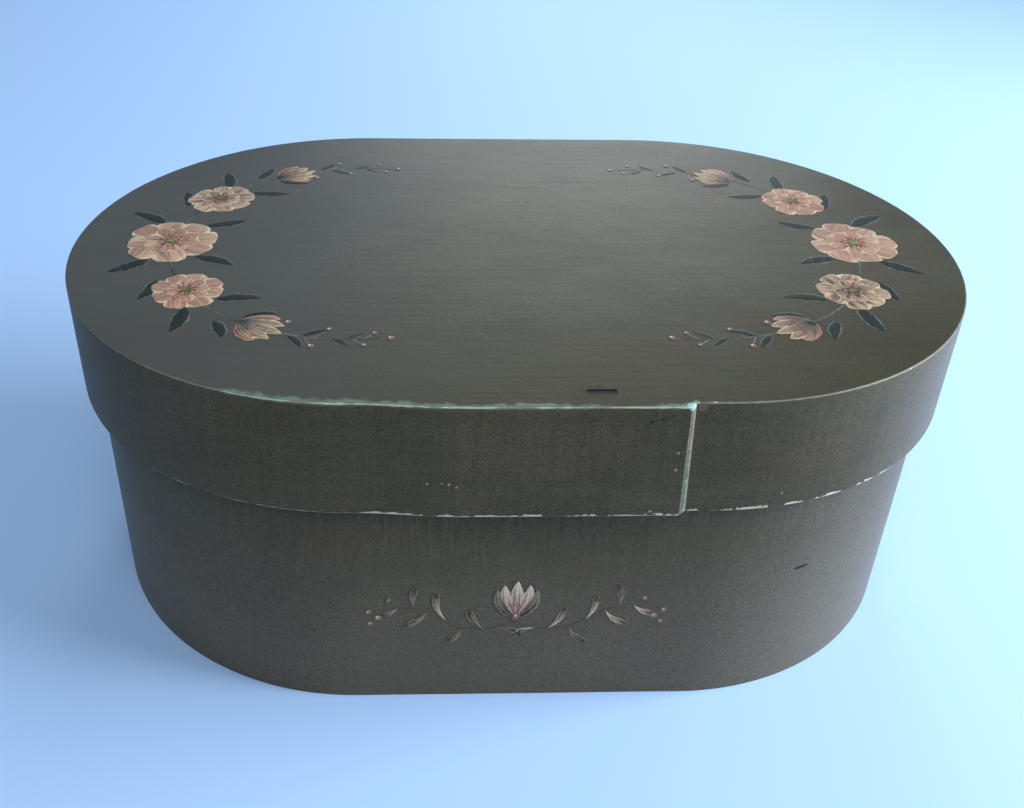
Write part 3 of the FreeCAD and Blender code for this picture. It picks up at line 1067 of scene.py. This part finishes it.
# Painted glints: small white highlights along the lower part of the planed end's edge.
from_slope = lid_paint.apart(lid_paint.along, slope_start)
glints = lid_paint.rub(from_slope, 0.6 * MM, 4 * MM, 67.0, low_down, cover=0.02)
lid_paint.lay(glints, chip_and_glint_white, 0.85, 0.05 * MM, 0.55)
specks = front_spots((
    (-24.9, 94.6, 0.5), (-22.8, 93.6, 0.4), (-27, 94.9, 0.35), (38.6, 105.4, 0.45),
    (38.6, 99.4, 0.5), (72, 87.6, 0.4), (-31, 94.5, 0.4), (33, 84.4, 0.5),
))
lid_paint.lay(specks, pale_coat, 0.6, 0.04 * MM, worn_rough)
pits = front_spots(((30, 116.2, 0.8), (33, 117, 0.9), (35.5, 118, 0.7), (86, 116.5, 0.6)))
lid_paint.lay(pits, pit_brown, 0.6, 0.15 * MM, broken_rough)
corner = (lap_reach - 0.6 * MM, front_y, band_high.z)
blob = lid_paint.near(corner, corner_blob_size, warp=0.5, seed=3.0)
lid_paint.lay(blob, blob_cyan, 0.9, blob_depth, blob_rough)
chip_place = (lap_reach + 2.2 * MM, middle_y - lid_edge, band_high.z)
chip = lid_paint.near(chip_place, chip_size, warp=1.3, seed=5.0)
lid_paint.lay(chip, bare_edge_brown, 0.7, 0.1 * MM, worn_rough)
lid_paint.bare_inside(3 * MM)
lid_band = bent_band(
    "painted_lid_band", lid_radius, band_low.z, band_high.z - film_room,
    lid_paint.dried(band_gloss), "lid", at_back=False,
)
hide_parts("lid_band")

# The box stands on a plain pale blue sheet, lit softly from the right and from above, and is
# seen from in front, a little above the lid.
sheet_blue = (0.36, 0.58, 0.98)
sheet_bounce = (0.44, 0.45, 0.46)
room_blue = (0.33, 0.52, 0.88)
room_white = (0.95, 0.98, 1.0)
room_level = 0.33
sheet_half_width = 6.0
lens_length = 38.33
film_width = 36.0
frame_shift = 0.0439
camera_place = (-32.07 * MM, -336.76 * MM, 288.85 * MM)
camera_pitch = math.radians(32.53)
camera_yaw = math.radians(2.716)
camera_roll = math.radians(1.418)


def seen_directly(nodes):
    """1 for what the camera, a reflection or glass looks at, and 0 for light on the box."""
    rays = nodes.add("LightPath").outputs
    seen = nodes.calc("MAXIMUM", rays["Is Camera Ray"], rays["Is Glossy Ray"])
    return nodes.calc("MAXIMUM", seen, rays["Is Transmission Ray"])


def show_mixed(nodes, share, first, second, output):
    """Send two shaders to an output, the second where the share is 1."""
    mixed = nodes.add("MixShader")
    for socket, value in zip(mixed.inputs, (share, first.outputs[0], second.outputs[0])):
        nodes.feed(socket, value)
    nodes.feed(nodes.tree.nodes[output].inputs["Surface"], mixed.outputs[0])


def soft_lamp(name, place, aim, size, power, colour):
    light = bpy.data.lights.new(name, "AREA")
    light.shape = "DISK"
    light.size = size
    light.energy = power
    light.color = colour
    lamp = bpy.data.objects.new(name, light)
    lamp.location = place
    lamp.rotation_euler = (Vector(aim) - Vector(place)).to_track_quat("-Z", "Y").to_euler()
    bpy.context.scene.collection.objects.link(lamp)


bm = bmesh.new()
bmesh.ops.create_grid(bm, x_segments=1, y_segments=1, size=sheet_half_width)
mesh = bpy.data.meshes.new("pale_sheet")
bm.to_mesh(mesh)
bm.free()
floor = bpy.data.objects.new("pale_sheet", mesh)
bpy.context.scene.collection.objects.link(floor)
sheet = Finish("pale_sheet")
seen = seen_directly(sheet)
sheet.feed(sheet.shader.inputs["Base Color"], sheet.blend(seen, sheet_bounce, sheet_blue))
sheet.shader.inputs["Roughness"].default_value = 0.8
sheet.shader.inputs["Specular IOR Level"].default_value = 0.2
distance = sheet.add("VectorMath", operation="LENGTH")
sheet.feed(distance.inputs[0], sheet.place)
far = sheet.calc("MULTIPLY", sheet.fade(distance.outputs["Value"], 0.55, 1.5), seen)
glow = sheet.add("Emission")
sheet.feed(glow.inputs["Color"], room_blue)
show_mixed(sheet, far, sheet.shader, glow, "Material Output")
mesh.materials.append(sheet.material)

soft_lamp("window_light", (1.2, -0.15, 0.52), (0, 0, 0.05), 0.9, 36, (1.0, 0.98, 0.95))
soft_lamp("high_light", (-0.05, -0.85, 1.5), (0, 0, 0.05), 1.0, 9.2, (1.0, 0.96, 0.85))
soft_lamp("back_light", (0.25, 1.5, 0.42), (0, 0, 0.1), 0.8, 10.2, (0.90, 0.97, 0.97))
world = bpy.data.worlds.new("soft_room")
world.use_nodes = True
room = Nodes(world.node_tree)
lighting, backdrop = room.tree.nodes["Background"], room.add("Background")
room.feed(lighting.inputs["Color"], room_white)
room.feed(lighting.inputs["Strength"], room_level)
room.feed(backdrop.inputs["Color"], room_blue)
show_mixed(room, seen_directly(room), lighting, backdrop, "World Output")
bpy.context.scene.world = world

camera = bpy.data.cameras.new("front_view")
camera.sensor_width = film_width
camera.lens = lens_length
camera.shift_x = frame_shift
camera.shift_y = -frame_shift
camera.clip_start = 10 * MM
view = bpy.data.objects.new("front_view", camera)
view.matrix_world = (
    Matrix.Translation(camera_place)
    @ Matrix.Rotation(-camera_yaw, 4, "Z")
    @ Matrix.Rotation(math.pi / 2 - camera_pitch, 4, "X")
    @ Matrix.Rotation(camera_roll, 4, "Z")
)
bpy.context.scene.collection.objects.link(view)
bpy.context.scene.camera = view
bpy.context.scene.view_settings.view_transform = "Standard"
